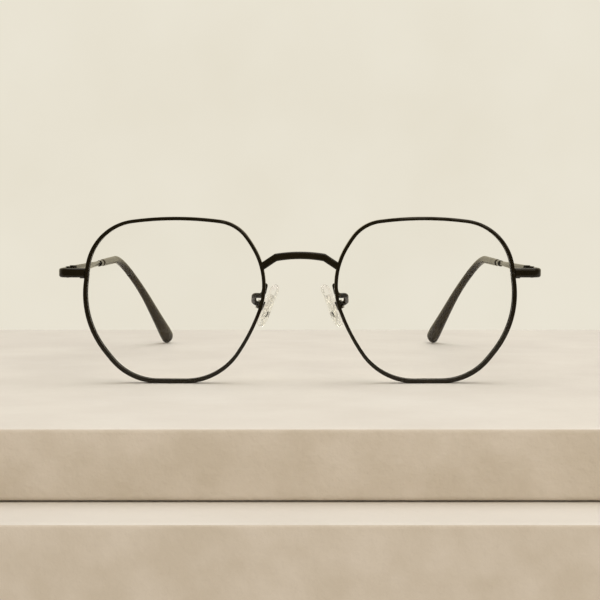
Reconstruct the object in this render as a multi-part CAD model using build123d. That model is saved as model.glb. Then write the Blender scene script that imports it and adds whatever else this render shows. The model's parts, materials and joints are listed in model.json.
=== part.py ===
"""Hexagonal wire eyeglasses with folding temples, modelled in millimetres.

The front faces minus Y, the temples run back along plus Y, and plus Z is up.
Plus X is the wearer's left. The left side is modelled and mirrored for the right.
The origin is the centre of the box's underside, where the rims and the tips rest.
"""
import math
import os

from build123d import *

# Lenses, by the boxing system that frame makers use
lens_width = 51.0
lens_height = 46.5
lens_gap = 20.6
lens_thickness = 1.3
lens_surface_radius = 265.0

# Lens outline: corners clockwise from the temporal top corner, x away from the nose,
# as shares of half the lens width and height
corner_shares = [
    (0.913, 0.868),
    (1.033, -0.193),
    (0.475, -1.0),
    (-0.450, -1.0),
    (-1.041, 0.207),
    (-0.683, 0.935),
]
# How far the side after each corner bows out, as shares of its length
side_bow_shares = [0.006, 0.042, 0.0, 0.07, 0.07, 0.055]
# Corner rounding as shares of the lens height
corner_radius_shares = [0.323, 0.565, 0.367, 0.390, 0.454, 0.238]

# Rims
rim_width = 1.0
rim_depth = 2.7
groove_clearance = 0.04
rim_split = 0.16
solder_gap = 0.03

# Pose of the front
front_tilt = 1.0
front_wrap = 1.0

# Bridge: its rise and kinks are shares of the lens height and of the gap
bridge_height = 1.8
bridge_depth = 1.3
bridge_rise_share = 0.793
bridge_rise = lens_height * bridge_rise_share
bridge_kink_share = 0.335
bridge_kink_reach = lens_gap * bridge_kink_share
bridge_kink_drop = 0.6
bridge_foot_overlap = 1.15
bridge_foot_reach = lens_gap / 2 + bridge_foot_overlap
bridge_foot_drop = 3.65
bridge_bow = 0.9
bridge_kink_radius = 1.0
bridge_edge_bevel = 0.3

# End pieces, hinge height and temple line, tied to the lens sizes
end_piece_level_share = 0.679
end_piece_level = lens_height * end_piece_level_share
end_piece_reach = 6.6
end_piece_height = 2.7
end_piece_thickness = 1.3
end_piece_corner_radius = 1.8
end_piece_edge_bevel = 0.4
end_piece_front_depth = 1.3
end_piece_return = 8.4
end_piece_set_back = 0.9
temple_spread = lens_gap + 2 * (lens_width + end_piece_reach)
hinge_depth = end_piece_front_depth + end_piece_return + end_piece_set_back
temple_convergence = 3.1

# Rim locks
lock_width = 2.3
lock_depth = 1.9

# Hinges
knuckle_radius = 1.15
knuckle_play = 0.06
hinge_height = 3.3
leaf_thickness = 0.85
front_leaf_length = 3.6
temple_leaf_length = 6.2
hinge_clearance = 0.12
hinge_screw_radius = 0.6
hinge_screw_play = 0.03
hinge_head_radius = 0.95
hinge_head_height = 0.4
hinge_slot_width = 0.2
hinge_slot_depth = 0.16
butt_gap = 0.1

# Temples
temple_height = 2.9
temple_thickness = 1.25
temple_edge_bevel = 0.4
wire_end_diameter = 1.2
wire_end_bevel = 0.35
core_wire_radius = 0.55
core_wire_bore = 0.59
core_wire_end_gap = 9.0
tip_start = 57.8
tip_rise = 0.55
ferrule_radius = 1.0
ferrule_length = 5.2
ferrule_neck_length = 1.6
ferrule_neck_radius = 0.82

# Temple tips: where the bend lies, and how far the end hooks in and reaches back
bend_start = 89.5
hook_middle_reach = 15.4
hook_middle_inset = 5.3
hook_middle_drop = 10.6
hook_end_reach = 38.8
hook_end_inset = 12.2
bend_radius = 18.0
hook_radius = 60.0
tip_start_diameter = 2.1
tip_neck_width = 2.4
tip_neck_height = 3.0
tip_paddle_width = 4.3
tip_paddle_height = 5.6
tip_rest_height = 1.15
# Where along the tip its neck and its paddle are reached, as shares of its length
tip_neck_share = 0.5
tip_paddle_share = 0.88
tip_section_count = 10
tip_end_angles = (35, 65)
tip_sides = 12
wire_sides = 8
wire_bend_step = 24.0

# Nose pads
pad_length = 13.2
pad_bottom_width = 7.4
pad_top_width = 5.4
pad_thickness = 2.0
pad_lift = 0.6
pad_edge_bevel = 0.6
pad_edge_share = 0.6
pad_sides = 20
pad_frontal_angle = 23.0
pad_splay_angle = 12.0
pad_overhang = 0.75
pad_inset = lens_gap / 2 - pad_overhang
pad_level_share = 0.45
pad_level = lens_height * pad_level_share
pad_set_back = 10.4
pad_pin_offset = 1.95
insert_thickness = 0.5
insert_length = 8.0
insert_width = 3.2
insert_corner_bevel = 0.9
insert_play = 0.03
tongue_width = 1.0
tongue_radius = 0.6
pad_pin_radius = 0.3
pad_pin_play = 0.04
pad_box_width = 2.4
pad_box_height = 2.5
pad_box_wall = 0.4
pad_box_front = 1.3
pad_box_play = 0.1

# Pad arms
arm_radius = 0.55
arm_bend_radius = 0.85
arm_foot_rise = 7.6
arm_foot_level = pad_level + arm_foot_rise
arm_foot_length = 3.3
arm_foot_inset = 0.65
arm_foot_lift = 0.12
arm_foot_slant = 1.3
arm_turn_reach = 2.2
arm_turn_depth = 1.3
arm_return = 1.25

# Cutters run past what they cut by this much
overrun = 5.0


def lens_corners():
    """Return the corners of the lens shape before rounding, in its own plane."""
    half_width = lens_width / 2
    half_height = lens_height / 2
    return [Vector(x * half_width, z * half_height) for x, z in corner_shares]


def lens_outline():
    """Return the lens shape as a face: six bowed sides and six soft corners."""
    corners = lens_corners()
    sides = []
    for start, end, bow in zip(corners, corners[1:] + corners[:1], side_bow_shares):
        run = end - start
        outward = Vector(-run.Y, run.X)
        middle = (start + end) / 2 + outward * bow
        sides.append(ThreePointArc(start, middle, end) if bow else Line(start, end))
    face = make_face(Wire(sides))
    for corner, share in zip(corners, corner_radius_shares):
        sharp = face.vertices().sort_by_distance(corner)[0]
        face = fillet(sharp, share * lens_height)
    return face


def grown_outline(grow):
    """Return the lens shape as a face, grown by an amount arc by arc."""
    edges = []
    for edge in lens_outline().edges():
        points = []
        for share in (0, 1 / 2, 1):
            point = edge @ share
            across = (edge % share).cross(Vector(0, 0, 1))
            outward = across if across.dot(point) > 0 else -across
            points.append(point + outward * grow)
        round_side = edge.geom_type == GeomType.CIRCLE
        edges.append(ThreePointArc(*points) if round_side else Line(points[0], points[2]))
    return make_face(Wire(edges))


def lens_prism(grow):
    """Return a long prism through the lens shape, grown by an amount."""
    return extrude(Plane.XZ * grown_outline(grow), amount=lens_width / 2, both=True)


def lens_shell(thickness):
    """Return the spherical shell that a lens and its rim follow."""
    half_width = lens_width / 2
    edge_sag = lens_surface_radius - math.sqrt(lens_surface_radius**2 - half_width**2)
    centre = lens_surface_radius - edge_sag + rim_depth / 2
    outer = Sphere(lens_surface_radius + thickness / 2)
    inner = Sphere(lens_surface_radius - thickness / 2)
    return Location((0, centre, 0)) * (outer - inner)


def lens_blank(grow):
    """Return a lens in its own place, grown by an amount."""
    return lens_prism(grow) & lens_shell(lens_thickness + 2 * grow)


def rim_ring():
    """Return the closed rim, grooved for the lens, in the lens's own place."""
    ring = lens_prism(rim_width / 2) - lens_prism(-rim_width / 2)
    ring = ring & lens_shell(rim_depth)
    return ring - lens_blank(groove_clearance)


def front_spot():
    """Return the place of the front: leaning forward about its underside."""
    return Location((0, 0, 0), (front_tilt, 0, 0))


def lens_spot():
    """Return the place of the left lens within the front."""
    wrap = math.radians(front_wrap)
    half_width = lens_width / 2
    across = lens_gap / 2 + half_width * math.cos(wrap)
    back = half_width * math.sin(wrap)
    up = (lens_height + rim_width) / 2
    return front_spot() * Location((across, back, up), (0, 0, front_wrap))


def hinge_spot():
    """Return the place where the left temple meets its end piece."""
    place = (temple_spread / 2, hinge_depth, end_piece_level)
    return Location(place, (0, 0, temple_convergence))


def rim_outside():
    """Return how far out the left rim's temporal side is, level with the end piece."""
    top, bottom = lens_corners()[:2]
    level = end_piece_level - (lens_height + rim_width) / 2
    share = (top.Y - level) / (top.Y - bottom.Y)
    reach = top.X + (bottom.X - top.X) * share
    return (lens_spot() * Location((reach, rim_depth / 2, level))).position.X


def bridge():
    """Return the bridge: a flat bar, arched, kinked, bowed forward and cut to the rims."""
    half = bridge_height / 2
    kink = Vector(bridge_kink_reach, bridge_rise - bridge_kink_drop)
    foot = Vector(bridge_foot_reach, bridge_rise - bridge_foot_drop)
    leg = (foot - kink).normalized()
    across = Vector(-leg.Y, leg.X)
    mitre = (across + Vector(0, 1)).normalized()
    mitre = mitre / mitre.dot(across)
    edges = []
    knees = []
    for side in (half, -half):
        knee = kink + mitre * side
        heel = foot + across * side
        crown = Vector(0, bridge_rise + side)
        other_knee = Vector(-knee.X, knee.Y)
        other_heel = Vector(-heel.X, heel.Y)
        knees += [knee, other_knee]
        edges.append(Line(other_heel, other_knee))
        edges.append(ThreePointArc(other_knee, crown, knee))
        edges.append(Line(knee, heel))
    edges.append(Line(edges[2] @ 1, edges[5] @ 1))
    edges.append(Line(edges[0] @ 0, edges[3] @ 0))
    shape = make_face(Wire(edges))
    for knee in knees:
        sharp = shape.vertices().sort_by_distance(knee)[0]
        shape = fillet(sharp, bridge_kink_radius)
    front_view = extrude(Plane.XZ * shape, amount=lens_width, both=True)
    middle = rim_depth / 2
    strip = trace(
        ThreePointArc(
            (-bridge_foot_reach - overrun, middle),
            (0, middle - bridge_bow),
            (bridge_foot_reach + overrun, middle),
        ),
        line_width=bridge_depth,
    )
    plan_view = extrude(strip, amount=lens_height)
    bar = front_view & plan_view
    sides = bar.faces().sort_by(Axis.Y)
    long_edges = sides[0].edges() + sides[-1].edges()
    return front_spot() * chamfer(long_edges, bridge_edge_bevel)


def end_piece():
    """Return the left end piece: a bar that leaves the rim and turns back."""
    butt = hinge_spot() * Location((0, -butt_gap / 2, 0))
    corner = hinge_spot() * Location((0, -end_piece_return, 0))
    outer = Vector(corner.position.X, end_piece_front_depth)
    inner = Vector(rim_outside() - overrun, end_piece_front_depth)
    end = Vector(butt.position.X, butt.position.Y)
    route = FilletPolyline(inner, outer, end, radius=end_piece_corner_radius)
    plan = trace(route, line_width=end_piece_thickness)
    bottom = end_piece_level - end_piece_height / 2
    bar = extrude(Location((0, 0, bottom)) * plan, amount=end_piece_height)
    flats = bar.faces().filter_by(Plane.XY)
    return chamfer(flats.edges(), end_piece_edge_bevel)


def lock_centre():
    """Return the middle of the left rim lock's split."""
    across = rim_outside() + rim_width / 2 + lock_width / 2
    back = end_piece_front_depth + end_piece_thickness / 2 + solder_gap + lock_depth / 2
    return Vector(across, back, end_piece_level)


def lock_block(direction):
    """Return one block of the left rim lock, above or below the split."""
    centre = lock_centre()
    height = (end_piece_height - rim_split) / 2
    middle = centre + Vector(-overrun / 2, 0, direction * (height + rim_split) / 2)
    return Location(middle) * Box(lock_width + overrun, lock_depth, height)


def knuckle_height():
    """Return the height of one of the three knuckles of a hinge."""
    return (hinge_height - 2 * knuckle_play) / 3


def hinge_axis_offset():
    """Return how far inside the temple's middle the hinge axis lies."""
    return end_piece_thickness / 2 + hinge_clearance + knuckle_radius


def hinge_leaf(length, direction, zones):
    """Return one leaf of a hinge with its knuckles, on the temple's own line."""
    keep_out = knuckle_radius + hinge_clearance
    axis = -hinge_axis_offset()
    outside = -end_piece_thickness / 2 - solder_gap
    plate_middle = outside - leaf_thickness / 2
    plate = Box(leaf_thickness, length - keep_out, hinge_height)
    leaf = Location((plate_middle, direction * (length + keep_out) / 2, 0)) * plate
    step = knuckle_height() + knuckle_play
    for zone in zones:
        level = zone * step
        barrel = Location((axis, 0, level)) * Cylinder(knuckle_radius, knuckle_height())
        neck = Box(outside - axis, keep_out, knuckle_height())
        leaf = leaf + barrel
        leaf = leaf + Location(((outside + axis) / 2, direction * keep_out / 2, level)) * neck
    bore = Cylinder(hinge_screw_radius + hinge_screw_play, hinge_height + overrun)
    return leaf - Location((axis, 0, 0)) * bore


def hinge_screw():
    """Return the slotted screw that the left temple folds on."""
    above = (Align.CENTER, Align.CENTER, Align.MIN)
    below = (Align.CENTER, Align.CENTER, Align.MAX)
    head = Cylinder(hinge_head_radius, hinge_head_height, align=above)
    slot = Box(2 * hinge_head_radius, hinge_slot_width, 2 * hinge_slot_depth)
    shank = Cylinder(hinge_screw_radius, hinge_height, align=below)
    screw = head - Location((0, 0, hinge_head_height)) * slot + shank
    top = hinge_height / 2 + solder_gap
    return hinge_spot() * Location((-hinge_axis_offset(), 0, top)) * screw


def section(across, height, bevel):
    """Return a section across the temple's line, with its corners bevelled."""
    outline = Rectangle(across, height)
    return Plane.XZ * chamfer(outline.vertices(), bevel)


def wire(route, radius):
    """Return a many-sided wire along a route, its bends made in short straight steps."""
    outline = RegularPolygon(radius, wire_sides)
    sideways = Vector(1, 0, 0)
    sections = []
    for edge in route.edges():
        turn = (edge % 0).get_angle(edge % 1)
        steps = max(1, math.ceil(turn / wire_bend_step))
        for step in range(steps + 1):
            along = edge % (step / steps)
            sideways = (sideways - along * sideways.dot(along)).normalized()
            frame = Plane(edge @ (step / steps), x_dir=sideways, z_dir=along)
            if step or not sections:
                sections.append(frame * outline)
    return loft(sections, ruled=True)


def tip_route(end_gap):
    """Return the middle line of the left tip, short of its end by a gap."""
    rise = tip_rise / tip_start
    bend = Vector(0, bend_start, rise * bend_start)
    middle = Vector(-hook_middle_inset, hook_middle_reach, -hook_middle_drop) + bend
    end = Vector(-hook_end_inset, bend_start + hook_end_reach, tip_rest_height - end_piece_level)
    end = end - (end - middle).normalized() * end_gap
    start = Vector(0, tip_start, tip_rise)
    return FilletPolyline(start, bend, middle, end, radius=[bend_radius, hook_radius])


def temple():
    """Return the left temple: a flat arm drawn down to a wire that cores the tip."""
    wire_start = tip_start - ferrule_length
    rise = tip_rise * wire_start / tip_start
    front = Location((0, butt_gap / 2, 0)) * section(
        temple_thickness, temple_height, temple_edge_bevel
    )
    back = Location((0, wire_start, rise)) * section(
        wire_end_diameter, wire_end_diameter, wire_end_bevel
    )
    arm = loft([front, back], ruled=True)
    core = tip_route(core_wire_end_gap)
    run_in = Line((0, wire_start, rise), core @ 0)
    return arm + wire(run_in, core_wire_radius) + wire(core, core_wire_radius)


def ferrule():
    """Return the collar that the left temple's wire passes through into its tip."""
    body = ferrule_length - ferrule_neck_length - 2 * solder_gap
    collar = Cylinder(ferrule_radius, body, align=(Align.CENTER, Align.CENTER, Align.MAX))
    neck = Cylinder(
        ferrule_neck_radius, ferrule_neck_length, align=(Align.CENTER, Align.CENTER, Align.MIN)
    )
    rise = tip_rise / tip_start
    seat = tip_start - ferrule_neck_length - solder_gap
    place = Plane((0, seat, rise * seat), z_dir=(0, 1, rise))
    start = tip_start - 2 * ferrule_length
    bore = wire(Line((0, start, rise * start), (0, tip_start, tip_rise)), core_wire_bore)
    return place * (collar + neck) - bore


def tip_section(route, place, size):
    """Return a section of the tip at a place along its route, shrunk to a size share."""
    neck = min(place / tip_neck_share, 1)
    swell = (place - tip_neck_share) / (tip_paddle_share - tip_neck_share)
    swell = min(max(swell, 0), 1)
    swell = swell * swell * (3 - 2 * swell)
    across = tip_start_diameter + (tip_neck_width - tip_start_diameter) * neck
    across += (tip_paddle_width - tip_neck_width) * swell
    tall = tip_start_diameter + (tip_neck_height - tip_start_diameter) * neck
    tall += (tip_paddle_height - tip_neck_height) * swell
    along = route % place
    upward = along.cross(Vector(0, 0, 1)).cross(along)
    frame = Plane(route @ place, x_dir=upward, z_dir=along)
    corners = []
    for index in range(tip_sides):
        turn = math.tau * index / tip_sides
        corners.append((math.cos(turn) * tall * size / 2, math.sin(turn) * across * size / 2))
    return frame * make_face(Polyline(*corners, close=True))


def temple_tip():
    """Return the left tip: a swelling bent end, bored for the core wire."""
    route = tip_route(0)
    round_share = tip_paddle_width / 2 / route.length
    full = 1 - round_share
    sections = []
    for index in range(tip_section_count + 1):
        sections.append(tip_section(route, full * index / tip_section_count, 1))
    for angle in tip_end_angles:
        turn = math.radians(angle)
        sections.append(tip_section(route, full + round_share * math.sin(turn), math.cos(turn)))
    return loft(sections, ruled=True) - wire(tip_route(core_wire_end_gap), core_wire_bore)


def pad_spot():
    """Return the place of the left nose pad's middle."""
    place = Location((pad_inset, pad_set_back, pad_level), (0, 0, -pad_splay_angle))
    return front_spot() * place * Location((0, 0, 0), (0, -pad_frontal_angle, 0))


def along_pin(shape):
    """Return a shape turned and moved from the Z axis onto the pad pin's line."""
    return Location((pad_pin_offset, 0, 0), (-90, 0, 0)) * shape


def pad_insert(grow):
    """Return the insert: a plate in the pad with a tongue for the pin, grown by an amount."""
    outline = Rectangle(insert_width + 2 * grow, insert_length + 2 * grow)
    outline = chamfer(outline.vertices(), insert_corner_bevel)
    plate = extrude(Plane.YZ * outline, amount=insert_thickness / 2 + grow, both=True)
    stem = Box(
        pad_pin_offset,
        tongue_width + 2 * grow,
        2 * (tongue_radius + grow),
        align=(Align.MIN, Align.CENTER, Align.CENTER),
    )
    eye = along_pin(Cylinder(tongue_radius + grow, tongue_width + 2 * grow))
    return plate + stem + eye


def pad_insert_bored():
    """Return the left insert with the bore that turns on the pad pin."""
    bore = along_pin(Cylinder(pad_pin_radius + pad_pin_play, pad_box_width))
    return pad_spot() * (pad_insert(0) - bore)


def pad_outline(inset):
    """Return the drop shape of the pad, many-sided and drawn in by an inset."""
    bottom_radius = pad_bottom_width / 2
    top_radius = pad_top_width / 2
    bottom = Vector(0, pad_lift + bottom_radius - pad_length / 2)
    top = Vector(0, pad_lift + pad_length / 2 - top_radius)
    corners = []
    for index in range(pad_sides):
        turn = math.tau * (index + 1 / 2) / pad_sides
        outward = Vector(math.cos(turn), math.sin(turn))
        low = bottom + outward * (bottom_radius - inset)
        high = top + outward * (top_radius - inset)
        corners.append(high if high.dot(outward) > low.dot(outward) else low)
    return make_face(Polyline(*corners, close=True))


def nose_pad():
    """Return the left nose pad: a soft drop shape moulded round its insert."""
    half = pad_thickness / 2
    sections = []
    for reach, inset in ((1, pad_edge_bevel), (1 - pad_edge_share, 0)):
        sections.append(Plane.YZ.offset(-half * reach) * pad_outline(inset))
    mirrored = [mirror(piece, about=Plane.YZ) for piece in reversed(sections)]
    pad = loft(sections + mirrored, ruled=True)
    return pad_spot() * (pad - pad_insert(insert_play))


def pad_box_back():
    """Return how far the pad box's back lies from the pad's middle."""
    return pad_pin_offset + tongue_radius + pad_box_play + pad_box_wall


def pad_box():
    """Return the left pad box: two cheeks and a back, with the pin across them."""
    depth = pad_box_back() - pad_box_front
    middle = (pad_box_back() + pad_box_front) / 2
    block = Location((middle, 0, 0)) * Box(depth, pad_box_width, pad_box_height)
    slot = Box(
        pad_box_back() - pad_box_wall,
        tongue_width + 2 * pad_box_play,
        pad_box_height + overrun,
        align=(Align.MIN, Align.CENTER, Align.CENTER),
    )
    pin = along_pin(Cylinder(pad_pin_radius, pad_box_width))
    return pad_spot() * (block - slot + pin)


def pad_arm():
    """Return the left pad arm: a wire from the rim that loops back to the pad box."""
    behind = rim_depth + arm_foot_lift + arm_radius
    foot = lens_gap / 2 - arm_foot_inset
    low = arm_foot_level - arm_foot_length
    untilt = front_spot().inverse()
    box_back = untilt * pad_spot() * Location((pad_box_back() + solder_gap, 0, 0))
    lead_in = box_back * Location((arm_return, 0, 0))
    points = [
        Vector(foot, behind, arm_foot_level),
        Vector(foot + arm_foot_slant, behind, low),
        Vector(foot + arm_foot_slant + arm_turn_reach, behind + arm_turn_depth, low),
        lead_in.position,
        box_back.position,
    ]
    route = FilletPolyline(*points, radius=arm_bend_radius)
    return front_spot() * wire(route, arm_radius)


def left_parts():
    """Return every piece of the left side by name."""
    envelope = lens_spot() * lens_prism(rim_width / 2 + solder_gap)
    slit = Box(overrun, overrun, rim_split)
    slit = Location((rim_outside(), rim_depth, end_piece_level)) * slit
    front_hinge = hinge_leaf(front_leaf_length, -1, (-1, 1))
    temple_hinge = hinge_leaf(temple_leaf_length, 1, (0,))
    return {
        "rim": lens_spot() * rim_ring() - slit,
        "lens": lens_spot() * lens_blank(0),
        "end_piece": end_piece() - envelope,
        "rim_lock_upper": lock_block(1) - envelope,
        "rim_lock_lower": lock_block(-1) - envelope,
        "front_hinge": hinge_spot() * front_hinge,
        "hinge_screw": hinge_screw(),
        "temple_hinge": hinge_spot() * temple_hinge,
        "temple": hinge_spot() * temple(),
        "ferrule": hinge_spot() * ferrule(),
        "temple_tip": hinge_spot() * temple_tip(),
        "pad_arm": pad_arm(),
        "pad_box": pad_box(),
        "pad_insert": pad_insert_bored(),
        "nose_pad": nose_pad(),
    }


def all_parts():
    """Return every piece of the eyeglasses by name, resting on the origin's plane."""
    left = left_parts()
    envelope = lens_spot() * lens_prism(rim_width / 2 + solder_gap)
    bar = bridge() - envelope - mirror(envelope, about=Plane.YZ)
    parts = {"bridge": bar}
    for name, piece in left.items():
        parts[name + "_left"] = piece
        parts[name + "_right"] = mirror(piece, about=Plane.YZ)
    return parts


def resting_shift(parts):
    """Return the move that puts the origin at the centre of the box's underside."""
    solids = [solid for piece in parts.values() for solid in piece.solids()]
    box = Compound(solids).bounding_box()
    return Location((-box.center().X, -box.center().Y, -box.min.Z))


def main():
    """Build every piece and write each to its own file."""
    os.makedirs("parts", exist_ok=True)
    parts = all_parts()
    shift = resting_shift(parts)
    for name, piece in parts.items():
        export_step(Compound(piece.solids()).moved(shift), os.path.join("parts", name + ".step"))


main()
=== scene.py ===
"""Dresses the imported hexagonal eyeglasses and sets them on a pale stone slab.

Lengths are in metres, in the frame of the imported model: +X is the wearer's left, the
front faces -Y and +Z is up. Pieces of the left side are mirrored for the right.
"""

import json
import logging
import math
from dataclasses import dataclass, field
from enum import Enum

import bmesh
import bpy
from mathutils import Matrix, Vector


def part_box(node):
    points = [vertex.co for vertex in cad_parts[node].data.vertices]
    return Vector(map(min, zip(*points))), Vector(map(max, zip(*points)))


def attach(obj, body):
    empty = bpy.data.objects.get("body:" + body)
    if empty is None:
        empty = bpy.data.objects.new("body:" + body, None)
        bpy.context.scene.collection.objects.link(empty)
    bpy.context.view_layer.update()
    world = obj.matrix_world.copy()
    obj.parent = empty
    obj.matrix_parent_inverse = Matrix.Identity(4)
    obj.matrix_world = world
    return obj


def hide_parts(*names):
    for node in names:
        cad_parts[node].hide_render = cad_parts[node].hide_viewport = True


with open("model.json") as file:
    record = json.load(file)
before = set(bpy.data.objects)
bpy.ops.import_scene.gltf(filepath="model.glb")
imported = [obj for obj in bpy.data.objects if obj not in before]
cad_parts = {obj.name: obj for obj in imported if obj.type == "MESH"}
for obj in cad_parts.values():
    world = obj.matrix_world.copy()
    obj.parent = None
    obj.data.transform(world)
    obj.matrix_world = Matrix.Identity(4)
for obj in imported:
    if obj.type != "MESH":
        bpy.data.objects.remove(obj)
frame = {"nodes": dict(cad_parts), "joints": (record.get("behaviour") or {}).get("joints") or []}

MM = 0.001
FOLD_JOINT = "left_temple_fold"
ROCK_JOINT = "left_pad_rock"
HINGE_IN_DRAWING = Vector((65.9828, 10.4962, 31.5735)) * MM
FRONT_TILT = math.radians(1)
MERGE_REACH = 0.002 * MM
MERGE_ANGLE = math.radians(0.6)
SHARP_ANGLE = math.radians(28)
BEVEL_SEGMENTS = 3
LEAST_BEND_STEPS = 4
CLOUD_DETAIL = 5
CLOUD_RANGE = (0.35, 0.65)
RANGE_SOCKETS = ("From Min", "From Max", "To Min", "To Max")
SPECK_DETAIL = 2
CLEAR_SHADOW = (0.985, 0.985, 0.985, 1)
log = logging.getLogger("eyeglasses")


class Side(Enum):
    """The wearer's two sides, valued by the sign of X."""

    LEFT = 1
    RIGHT = -1

    @property
    def word(self) -> str:
        """The side's name as the nodes spell it."""
        return self.name.lower()

    @property
    def mirror(self) -> Matrix:
        """The matrix that takes a left piece to this side."""
        return Matrix.Diagonal((self.value, 1, 1, 1))


class Body(Enum):
    """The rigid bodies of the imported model."""

    FRONT = "front"
    TEMPLE = "{side}_temple"
    PAD = "{side}_pad"

    def on(self, side: Side) -> str:
        """Return the body's name on one side, as the record gives it."""
        return self.value.format(side=side.word)


class Slot(Enum):
    """The material slots of the record."""

    FRAME_METAL = "frame_metal"
    SCREW_METAL = "screw_metal"
    LENS = "lens"
    TIP_PLASTIC = "tip_plastic"
    CLEAR_PAD = "clear_pad"
    INSERT_PLASTIC = "insert_plastic"


def millimetres(*sizes: float) -> Vector:
    """Return a dataclass field whose default is a vector given in millimetres."""
    return field(default_factory=lambda: Vector(sizes) * MM)


class Nodes:
    """Adds and links shader or geometry nodes in one tree."""

    def __init__(self, tree: bpy.types.NodeTree) -> None:
        """Keep the tree that the nodes go into."""
        self.tree = tree

    def feed(self, target: bpy.types.NodeSocket, source: object) -> None:
        """Link an output socket to an input, or set the input's own value.

        Args:
            target: the input.
            source: what feeds it, an output socket or a value.
        """
        if isinstance(source, bpy.types.NodeSocket):
            self.tree.links.new(source, target)
        else:
            target.default_value = source

    def fill(self, node: bpy.types.Node, inputs: dict[str, object]) -> None:
        """Feed some of a node's inputs, by name."""
        for name, source in inputs.items():
            self.feed(node.inputs[name], source)

    def add(
        self, kind: str, inputs: dict[str, object] | None = None, **settings: object
    ) -> bpy.types.Node:
        """Add a node.

        Args:
            kind: the node's Blender type.
            inputs: what feeds its inputs, by name, each an output socket or a value.
            settings: attributes to set on it.

        Returns:
            The new node.
        """
        node = self.tree.nodes.new(kind)
        for name, value in settings.items():
            setattr(node, name, value)
        self.fill(node, inputs or {})
        return node

    def join(self, kind: str, *terms: object, **settings: object) -> bpy.types.NodeSocket:
        """Add a node and feed its inputs in order.

        Args:
            kind: the node's Blender type.
            terms: what feeds them, each an output socket or a value.
            settings: attributes to set on it.

        Returns:
            Its first output socket.
        """
        node = self.add(kind, **settings)
        for target, term in zip(node.inputs, terms):
            self.feed(target, term)
        return node.outputs[0]

    def math(self, operation: str, *terms: object) -> bpy.types.NodeSocket:
        """Add a math node and return its output socket."""
        return self.join("ShaderNodeMath", *terms, operation=operation)


def new_group(name: str, kind: str, inputs: dict[str, str], outputs: dict[str, str]) -> Nodes:
    """Start a node group with named sockets.

    Args:
        name: the group's name.
        kind: the Blender type of its tree.
        inputs: each input's socket type.
        outputs: each output's socket type.

    Returns:
        The helper that adds nodes to the group.
    """
    tree = bpy.data.node_groups.new(name, kind)
    for way, sockets in (("INPUT", inputs), ("OUTPUT", outputs)):
        for label, socket_type in sockets.items():
            tree.interface.new_socket(label, in_out=way, socket_type=socket_type)
    return Nodes(tree)


def geometry_group(name: str, inputs: dict[str, str]) -> tuple[Nodes, object]:
    """Start a Geometry Nodes group that takes a geometry and a material.

    Args:
        name: the group's name.
        inputs: the socket type of each further input.

    Returns:
        The helper that adds nodes to it, and the sockets that give what it takes.
    """
    shape = {"Geometry": "NodeSocketGeometry"}
    inputs = shape | inputs | {"Material": "NodeSocketMaterial"}
    nodes = new_group(name, "GeometryNodeTree", inputs, shape)
    return nodes, nodes.add("NodeGroupInput").outputs


def hand_out(
    nodes: Nodes, shape: bpy.types.NodeSocket, material: bpy.types.NodeSocket
) -> bpy.types.NodeTree:
    """End a Geometry Nodes group: make its shape real, paint it and put it out.

    Args:
        nodes: the helper that adds nodes to it.
        shape: the socket that gives the shape.
        material: the socket that gives the material.

    Returns:
        The group.
    """
    real = nodes.join("GeometryNodeRealizeInstances", shape)
    paint = nodes.add("GeometryNodeSetMaterial", {"Geometry": real, "Material": material})
    nodes.add("NodeGroupOutput", {"Geometry": paint.outputs["Geometry"]})
    return nodes.tree


def set_inputs(modifier: bpy.types.NodesModifier, values: dict[str, object]) -> None:
    """Set inputs of a Geometry Nodes modifier, each by its socket's identifier.

    Args:
        modifier: the modifier.
        values: each input's value, by the input's name.
    """
    for item in modifier.node_group.interface.items_tree:
        if item.in_out == "INPUT" and item.name in values:
            modifier[item.identifier] = values[item.name]


def cloudy_group() -> bpy.types.NodeTree:
    """Build the group that varies a colour and a roughness in soft clouds and fine specks.

    Returns:
        The group, with a colour, a roughness and a height for bump.
    """
    tone, number = "NodeSocketColor", "NodeSocketFloat"
    numbers = ("Roughness", "Roughness Spread", "Cloud Scale", "Speck Scale")
    inputs = {"Color": tone, "Second Color": tone} | dict.fromkeys(numbers, number)
    outputs = {"Color": tone, "Roughness": number, "Height": number}
    nodes = new_group("cloudy_surface", "ShaderNodeTree", inputs, outputs)
    given = nodes.add("NodeGroupInput").outputs
    place = nodes.add("ShaderNodeTexCoord").outputs["Object"]
    clouds, specks = (
        nodes.add(
            "ShaderNodeTexNoise", {"Vector": place, "Scale": given[scale], "Detail": detail}
        ).outputs["Fac"]
        for scale, detail in (("Cloud Scale", CLOUD_DETAIL), ("Speck Scale", SPECK_DETAIL))
    )
    spread = dict(zip(RANGE_SOCKETS, CLOUD_RANGE)) | {"Value": clouds}
    share = nodes.add("ShaderNodeMapRange", spread).outputs["Result"]
    tones = {"Factor": share, "A": given["Color"], "B": given["Second Color"]}
    surface = {
        "Color": nodes.add("ShaderNodeMix", tones, data_type="RGBA").outputs["Result"],
        "Roughness": nodes.math(
            "MULTIPLY_ADD", share, given["Roughness Spread"], given["Roughness"]
        ),
        "Height": specks,
    }
    nodes.add("NodeGroupOutput", surface)
    return nodes.tree


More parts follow.
